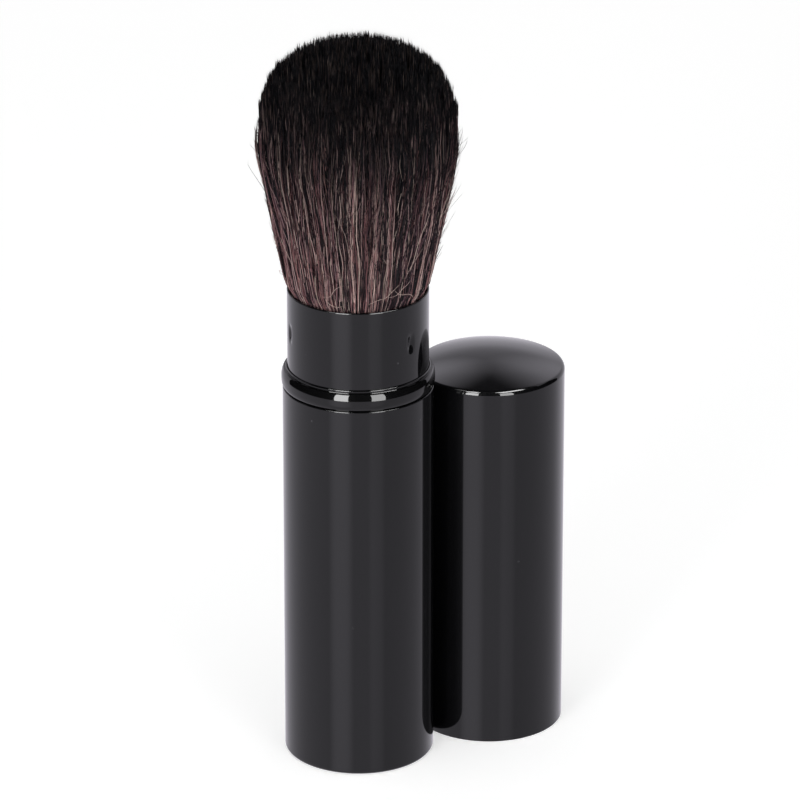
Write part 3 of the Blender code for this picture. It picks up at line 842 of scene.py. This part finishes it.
def colour_of(side, clumps, owner, random):
    """Each hair's tone, and how far its dye is shifted along it."""
    count = len(side)
    tone = clumps["tone"][owner] + broad_tone(side) + TONE_SPREAD * random.normal(size=count)
    shift = clumps["shift"][owner] + SHIFT_SPREAD * random.normal(size=count)
    shift -= SHIFT_BY_TONE * (np.clip(tone, 0, 1) - 0.5)
    # Within the patch of painted shade the brown reaches higher up the hairs
    shift -= PAINTED_SHADE_SHIFT * painted_shade(side)
    return tone, shift


def grow_hair(shares, angles, widths, clumps, random, knots, fringe, sway_size=PLAIN_SWAY, loose=0.0):
    """Hairs that run up from their root and bunch towards their tips.

    loose is the share of its radius by which a tip stands out at most.
    """
    count = len(shares)
    x = shares * np.cos(angles)
    y = shares * np.sin(angles)
    side = np.arctan2(y, x)
    owner = clump_owner(x, y, clumps)
    tip_x, tip_y = gathered(x, y, clumps, owner, random)
    top = tip_heights(tip_x, tip_y, clumps, owner, fringe, random)
    t = np.concatenate([[0.0], np.linspace(0, LAST_FREE_KNOT, knots - 2), [1.0]])[None, :]
    height = SLEEVE_RIM + (top[:, None] - SLEEVE_RIM) * t
    height[:, 0] = HAIR_ROOT
    up = np.clip((height - SLEEVE_RIM) / (TUFT_TIP - SLEEVE_RIM), 0, 1)
    near_tip = up ** GATHER_POWER
    standing_out = loose * random.random((count, 1)) ** 2 * up ** LOOSE_POWER
    reach = envelope(height) * (1 + standing_out)
    px = (x[:, None] + (tip_x - x)[:, None] * near_tip) * reach
    py = (y[:, None] + (tip_y - y)[:, None] * near_tip) * reach
    px, py = wave(px, py, height, side, clumps["phase"][owner][:, None], sway_size, random)
    lean = clumps["lean"][owner] + HAIR_LEAN * random.normal(size=count)
    px += LEAN_REACH * lean[:, None] * up ** 2 * np.cos(side + LEAN_TURN)[:, None]
    py += LEAN_REACH * lean[:, None] * up ** 2 * np.sin(side + LEAN_TURN)[:, None]
    paths = keep_in_sleeve(np.stack([px, py, height], axis=2))
    thick = np.clip((1 - t) / TAPER_SHARE, 0, 1)
    thickness = widths[:, None] * (TIP_WIDTH + (1 - TIP_WIDTH) * thick)
    tone, shift = colour_of(side, clumps, owner, random)
    return [paths, thickness, tone, shift]


def stray_hairs(random, count, rightward, lengths, tips_off, sunk, pale):
    """Single hairs that leave the tuft's sides at a slant.

    rightward is the share of them towards +X, and pale the share that is pale. lengths and
    tips_off give the least and the most, and sunk is how deep a hair starts in the tuft.
    """
    right = random.random(count) < rightward
    to_right = random.normal(0.0, STRAY_BEARING_SPREAD, count)
    angle = np.where(right, to_right, 2 * math.pi * random.random(count))
    start = SLEEVE_RIM + between(random, count, STRAY_START)
    length = between(random, count, lengths)
    length = np.minimum(length, TUFT_SHOULDER + STRAY_OVER_SHOULDER - start)
    t = np.linspace(0, 1, STRAY_KNOTS)[None, :]
    height = start[:, None] + length[:, None] * t
    off = between(random, (count, 1), tips_off, power=2)
    base = envelope(start)[:, None] - sunk
    lean = np.minimum(envelope(height) - envelope(start)[:, None], STRAY_LEAN * t)
    radius = base + lean + off * t ** STRAY_BEND_POWER
    around = angle[:, None] + (STRAY_TURN * random.normal(size=(count, 1))) * t
    phase = STRAY_WOBBLE_PHASE * random.random((count, 1))
    around = around + STRAY_WOBBLE * np.sin(height / STRAY_WOBBLE_PITCH + phase)
    paths = np.stack([radius * np.cos(around), radius * np.sin(around), height], axis=2)
    widths = between(random, (count, 1), STRAY_WIDTH) * (1 - STRAY_TAPER * t)
    dark_tone = between(random, count, STRAY_DARK_TONE)
    is_pale = random.random(count) < pale
    tone = np.where(is_pale, between(random, count, STRAY_PALE_TONE), dark_tone)
    return [keep_in_sleeve(paths), widths, tone, STRAY_SHIFT * random.normal(size=count)]


def rim_hairs(random):
    """The few pale hairs that come loose over the sleeve's rim."""
    t = np.linspace(0, 1, RIM_HAIR_KNOTS)
    made = []
    for bearing, turn, low, rise, off in RIM_HAIRS:
        height = SLEEVE_RIM + (low + rise * t) * MM + RIM_HAIR_RIPPLE * np.sin(9 * t + bearing)
        around = np.radians(bearing + turn * t + RIM_HAIR_TURN_RIPPLE * np.sin(7 * t))
        bow = off * MM * np.sin(math.pi * (0.08 + 0.84 * t))
        radius = envelope(height) - RIM_HAIR_SUNK + bow
        made.append(np.stack([radius * np.cos(around), radius * np.sin(around), height], axis=1))
    thick = 0.5 + 0.5 * np.sin(math.pi * np.clip(t[None, :], 0.1, 0.9))
    widths = RIM_HAIR_WIDTH * thick * np.ones((len(made), 1))
    return [np.stack(made), widths, between(random, len(made), PALE_TONE), np.zeros(len(made))]


def tone_levels(tone):
    """Tones rounded to the levels that a strand's colour comes in."""
    level = np.clip(np.round(np.clip(tone, 0, 1) * HAIR_TONES - 0.5), 0, HAIR_TONES - 1)
    return (level + 0.5) / HAIR_TONES


def all_hair(random):
    """Every group of hairs: the body, the outer coat, its wavy locks, the strays and those at the rim."""
    clumps = make_clumps(random)
    body_count, coat_count, lock_count = HAIR_COUNTS

    def around(count):
        return random.random(count) * 2 * math.pi

    share = BODY_REACH * np.sqrt(random.random(body_count))
    width = between(random, body_count, BODY_WIDTH)
    body = grow_hair(
        share, around(body_count), width, clumps, random, BODY_KNOTS, BODY_FRINGE)

    share = np.sqrt(between(random, coat_count, COAT_AREA))
    width = between(random, coat_count, COAT_WIDTH)
    coat = grow_hair(
        share, around(coat_count), width, clumps, random, COAT_KNOTS, COAT_FRINGE, loose=COAT_LOOSE)
    pale = random.random(coat_count) > PALE_ABOVE
    tone = np.minimum(coat[2], PLAIN_TONE_LIMIT)
    coat[2] = np.where(pale, between(random, coat_count, PALE_TONE), tone)
    coat[1] *= np.where(pale, PALE_WIDTH, 1.0)[:, None]

    share = np.sqrt(between(random, lock_count, LOCK_AREA))
    width = between(random, lock_count, LOCK_WIDTH)
    bearing = around(lock_count)
    locks = grow_hair(
        share, bearing, width, clumps, random, LOCK_KNOTS, COAT_FRINGE, LOCK_SWAY, COAT_LOOSE)
    side = bearing - 2 * math.pi * (bearing > math.pi)
    # Locks in the patch of painted shade are more often dark
    light = random.random(lock_count) > DARK_LOCKS + PAINTED_SHADE_DARK_LOCKS * painted_shade(side)
    light_tone = between(random, lock_count, LIGHT_LOCK_TONE, power=LIGHT_LOCK_RARITY)
    locks[2] = np.where(light, light_tone, between(random, lock_count, DARK_LOCK_TONE))

    strays = stray_hairs(
        random, count=260, rightward=0.62, lengths=(5.0 * MM, 14.0 * MM),
        tips_off=(0.5 * MM, 3.4 * MM), sunk=0.5 * MM, pale=0.30)
    short_ends = stray_hairs(
        random, count=900, rightward=0.20, lengths=(3.0 * MM, 7.0 * MM),
        tips_off=(0.35 * MM, 1.25 * MM), sunk=0.25 * MM, pale=0.06)
    return [body, coat, locks, strays, short_ends, rim_hairs(random)]


def make_hair(look):
    """The whole tuft, cut into wedges by the bearing of one point of each hair."""
    groups = all_hair(np.random.default_rng(HAIR_SEED))
    wedge = 2 * math.pi / WEDGES
    for index in range(WEDGES):
        middle = (index + 0.5) * wedge
        part = []
        for paths, widths, tone, shift in groups:
            where = np.arctan2(paths[:, WEDGE_KNOT, 1], paths[:, WEDGE_KNOT, 0]) % (2 * math.pi)
            mine = (where // wedge).astype(int) == index
            held = keep_when_squeezed(paths[mine], middle)
            part.append((held, widths[mine], tone_levels(tone[mine]), shift[mine]))
        piece = hair_mesh(f"hair_wedge_{index:02d}", part)
        piece.data.materials.append(look)
        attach(piece, "handle")
        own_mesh(piece)
        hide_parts("bristles")


# Camera
SENSOR_MM = 36.0
LENS_MM = 290.9
CAMERA_PLACE = (6.89 * MM, -983.85 * MM, 478.36 * MM)
CAMERA_TILT_DEG = 22.9
NEAREST_SEEN = 0.05
FARTHEST_SEEN = 20.0


def make_camera():
    """The photograph's camera: a long lens that looks down at the brush."""
    data = bpy.data.cameras.new("camera")
    data.sensor_width = SENSOR_MM
    data.lens = LENS_MM
    data.clip_start = NEAREST_SEEN
    data.clip_end = FARTHEST_SEEN
    camera = bpy.data.objects.new("camera", data)
    camera.location = CAMERA_PLACE
    camera.rotation_euler = (math.radians(90.0 - CAMERA_TILT_DEG), 0, 0)
    bpy.context.scene.collection.objects.link(camera)
    bpy.context.scene.camera = camera


# Stage
WHITE = (1.0, 1.0, 1.0)
MIRRORED_TINT = (0.94, 0.91, 1.0)
ROOM_LIGHT = 0.62
FLOOR_GREY = 0.80
FLOOR_GLOW = 0.47
FLOOR_HALF = 6.0
FLOOR_SINK = 0.02 * MM

# Patches of the room: azimuth, elevation, inner and outer edge in degrees, and the light that each adds
ROOM_PATCHES = (
    (180.0, 66.0, 8.0, 33.0, -0.90),
    (180.0, 28.0, 3.0, 18.0, -0.30),
    (-155.0, 40.0, 3.0, 22.0, 0.95),
    (153.0, 38.0, 3.0, 24.0, 0.75),
    (-27.0, -23.0, 2.0, 19.0, 0.62),
    (28.0, -23.0, 3.0, 13.0, 0.22),
    (78.0, -23.0, 30.0, 55.0, -0.18),
)

WINDOW_TARGET = (0.0, 0.0, 0.130)
WINDOW_DISTANCE = 0.268
WINDOW_SIZE = (0.095, 0.252)

# Name, azimuth, radiance that the gloss mirrors, and radiance that lights the object
WINDOWS = (("left", -24.0, 19.5, 6.2), ("right", 29.5, 13.0, 4.4))

WING_TARGET = (0.0, 0.0, 0.065)
WING_ELEVATION = 56.0
WING_DISTANCE = 0.21
WING_HEIGHT = 0.06
WING_RADIANCE = 26.0

# Name, azimuth and width
WINGS = (("left", -38.0, 0.10), ("right", 54.0, 0.12))

TABLE_EDGE = 0.285
CLOTH_BOTTOM = 0.004
CLOTH_TOP = 0.264
WALL_REACH_DEG = 118
CEILING_BACK = 0.075
CEILING_NARROWS = 0.01
CEILING_BACK_HALF = 0.12
CLOTH_DARK = (0.006, 0.006, 0.007)
CLOTH_PALE = (0.014, 0.014, 0.016)


def aim(thing, place, target):
    """Put a lamp or card at a place and turn it to a target."""
    thing.location = place
    thing.rotation_euler = (Vector(target) - Vector(place)).to_track_quat("-Z", "Y").to_euler()


def polar(azimuth, elevation, distance, target):
    """A place seen from the target at this azimuth, from the front towards +X, and elevation."""
    a = math.radians(azimuth)
    e = math.radians(elevation)
    return (
        target[0] + distance * math.sin(a) * math.cos(e),
        target[1] - distance * math.cos(a) * math.cos(e),
        target[2] + distance * math.sin(e),
    )


def patch(nodes, link, direction, azimuth, elevation, inner, outer, amount):
    """A soft round patch of the room that adds its amount of light, full within the inner angle."""
    centre = nodes.new("ShaderNodeVectorMath")
    centre.operation = "DOT_PRODUCT"
    link(direction, centre.inputs[0])
    centre.inputs[1].default_value = polar(azimuth, elevation, 1.0, (0.0, 0.0, 0.0))
    low = math.cos(math.radians(outer))
    high = math.cos(math.radians(inner))
    return spread(nodes, link, centre.outputs["Value"], low, high, 0.0, amount, soft=True)


def make_world():
    """A plain pale room: white where it is seen, softer where it only lights.

    The gloss also sees a dim ceiling and back, two bright patches high behind, and under the
    table's level two faint ones in front and a dim right side.
    """
    world = bpy.data.worlds.new("studio")
    bpy.context.scene.world = world
    world.use_nodes = True
    nodes = world.node_tree.nodes
    link = world.node_tree.links.new
    background = nodes["Background"]
    path = nodes.new("ShaderNodeLightPath")
    glossy = path.outputs["Is Glossy Ray"]
    link(mixed(nodes, link, glossy, WHITE, MIRRORED_TINT), background.inputs["Color"])
    direction = nodes.new("ShaderNodeTexCoord").outputs["Generated"]
    level = spread(nodes, link, shown_to_eye(nodes, link), 0.0, 1.0, ROOM_LIGHT, 1.0)
    patches = [patch(nodes, link, direction, *place) for place in ROOM_PATCHES]
    mirrored = combined(nodes, link, "MULTIPLY", [combined(nodes, link, "ADD", patches), glossy])
    link(combined(nodes, link, "ADD", [level, mirrored]), background.inputs["Strength"])


def make_floor():
    """A wide pale floor that fades to white and keeps a soft shadow."""
    mesh = bpy.data.meshes.new("floor")
    half = FLOOR_HALF
    corners = [(-half, -half, 0), (half, -half, 0), (half, half, 0), (-half, half, 0)]
    mesh.from_pydata(corners, [], [(0, 1, 2, 3)])
    floor = bpy.data.objects.new("floor", mesh)
    bpy.context.scene.collection.objects.link(floor)
    floor.location.z = -FLOOR_SINK
    made, nodes, link, shader = material("pale_floor")
    nodes.remove(shader)
    matt = nodes.new("ShaderNodeBsdfDiffuse")
    matt.inputs["Color"].default_value = (FLOOR_GREY, FLOOR_GREY, FLOOR_GREY, 1.0)
    glow = nodes.new("ShaderNodeEmission")
    glow.inputs["Color"].default_value = (*WHITE, 1.0)
    shown = spread(nodes, link, shown_to_eye(nodes, link), 0.0, 1.0, 0.0, FLOOR_GLOW)
    link(shown, glow.inputs["Strength"])
    both = nodes.new("ShaderNodeAddShader")
    link(matt.outputs["BSDF"], both.inputs[0])
    link(glow.outputs["Emission"], both.inputs[1])
    link(both.outputs["Shader"], nodes["Material Output"].inputs["Surface"])
    mesh.materials.append(made)
    floor.visible_glossy = False


def softbox(name, place, target, size, radiance, mirrored):
    """A soft rectangular light of this radiance: the panel that the gloss mirrors, or its light alone."""
    data = bpy.data.lights.new(name, "AREA")
    data.shape = "RECTANGLE"
    data.size = size[0]
    data.size_y = size[1]
    data.energy = radiance * math.pi * size[0] * size[1]
    lamp = bpy.data.objects.new(name, data)
    bpy.context.scene.collection.objects.link(lamp)
    aim(lamp, place, target)
    lamp.visible_camera = False
    lamp.visible_glossy = mirrored
    lamp.visible_diffuse = not mirrored


def cloth_piece(name, place_point, rows, columns):
    """A dark cloth that the gloss alone sees, laid over a grid of points."""
    verts = []
    for row in range(rows + 1):
        for column in range(columns + 1):
            verts.append(place_point(row / rows, column / columns))
    faces = []
    for row in range(rows):
        for column in range(columns):
            a = row * (columns + 1) + column
            faces.append((a, a + 1, a + columns + 2, a + columns + 1))
    mesh = bpy.data.meshes.new(name)
    mesh.from_pydata(verts, [], faces)
    cloth = bpy.data.objects.new(name, mesh)
    bpy.context.scene.collection.objects.link(cloth)
    made, nodes, link, shader = material(name)
    coords = nodes.new("ShaderNodeTexCoord").outputs["Object"]
    weave = noise(nodes, link, coords, scale=6.0)
    link(ramp(nodes, link, weave, [(0.3, CLOTH_DARK), (0.7, CLOTH_PALE)]), shader.inputs["Base Color"])
    shader.inputs["Specular IOR Level"].default_value = 0.0
    shader.inputs["Roughness"].default_value = 0.9
    mesh.materials.append(made)
    cloth.visible_camera = False
    cloth.visible_diffuse = False
    cloth.visible_transmission = False
    cloth.visible_shadow = False


def make_cloth():
    """The unlit room round the table: a dark wall from the table's edge and a ceiling over the front."""

    def wall(up, along):
        azimuth = math.radians(WALL_REACH_DEG * (2 * along - 1))
        height = CLOTH_BOTTOM + (CLOTH_TOP - CLOTH_BOTTOM) * up
        return TABLE_EDGE * math.sin(azimuth), -TABLE_EDGE * math.cos(azimuth), height

    def ceiling(up, along):
        depth = -TABLE_EDGE + (TABLE_EDGE + CEILING_BACK) * up
        half = TABLE_EDGE if depth < CEILING_NARROWS else CEILING_BACK_HALF
        return (2 * along - 1) * half, depth, CLOTH_TOP

    cloth_piece("dark_wall", wall, rows=2, columns=48)
    cloth_piece("dark_ceiling", ceiling, rows=5, columns=4)


def make_lights():
    """Two windows at the table's edge, and two small wings over them that only the gloss sees.

    A window is two lights in one place: the panel that the gloss mirrors, and the light that it throws.
    """
    for name, azimuth, shine, throw in WINDOWS:
        place = polar(azimuth, 0.0, WINDOW_DISTANCE, WINDOW_TARGET)
        softbox(f"window_{name}", place, WINDOW_TARGET, WINDOW_SIZE, shine, mirrored=True)
        softbox(f"light_{name}", place, WINDOW_TARGET, WINDOW_SIZE, throw, mirrored=False)
    for name, azimuth, width in WINGS:
        place = polar(azimuth, WING_ELEVATION, WING_DISTANCE, WING_TARGET)
        size = (width, WING_HEIGHT)
        softbox(f"wing_{name}", place, WING_TARGET, size, WING_RADIANCE, mirrored=True)


def dress_inside():
    """Give the pieces inside the brush and the cap their materials, on the frame's own meshes."""
    looks = {
        "base_weight": metal(
            "turned_steel", (0.45, 0.45, 0.46), roughness=0.34, turned_on_lathe=True),
        "core_post": moulded("pale_moulding", (0.72, 0.71, 0.67), roughness=0.42),
        "cap_liner": moulded("liner_moulding", (0.74, 0.73, 0.69), roughness=0.40),
        "sleeve_foot": moulded("black_moulding", (0.022, 0.022, 0.023), roughness=0.45),
        "friction_ring": moulded(
            "black_rubber", (0.030, 0.030, 0.031), roughness=0.70, grain_scale=900.0, grain=0.25),
        "ferrule": metal(
            "drawn_aluminium", (0.74, 0.74, 0.76), roughness=0.28, turned_on_lathe=False),
        "glue_plug": glue("amber_resin"),
    }
    for node, look in looks.items():
        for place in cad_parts[node].material_slots:
            place.material = look


def build_scene():
    """Dress every node and set the stage."""
    black = lacquer(
        "black_lacquer", rough_low=0.012, rough_high=0.045, colour=(0.0016, 0.0016, 0.0019),
        haze=0.04)
    collar_black = lacquer(
        "collar_lacquer", rough_low=0.015, rough_high=0.05, colour=(0.0016, 0.0016, 0.0017),
        haze=0.015, dust=False)
    make_handle(black)
    make_bead(collar_black)
    make_sleeve(black)
    make_cap(black)
    make_hair(hair_material())
    dress_inside()

    make_camera()
    make_world()
    make_floor()
    make_lights()
    make_cloth()
    bpy.context.scene.view_settings.view_transform = "Standard"


build_scene()
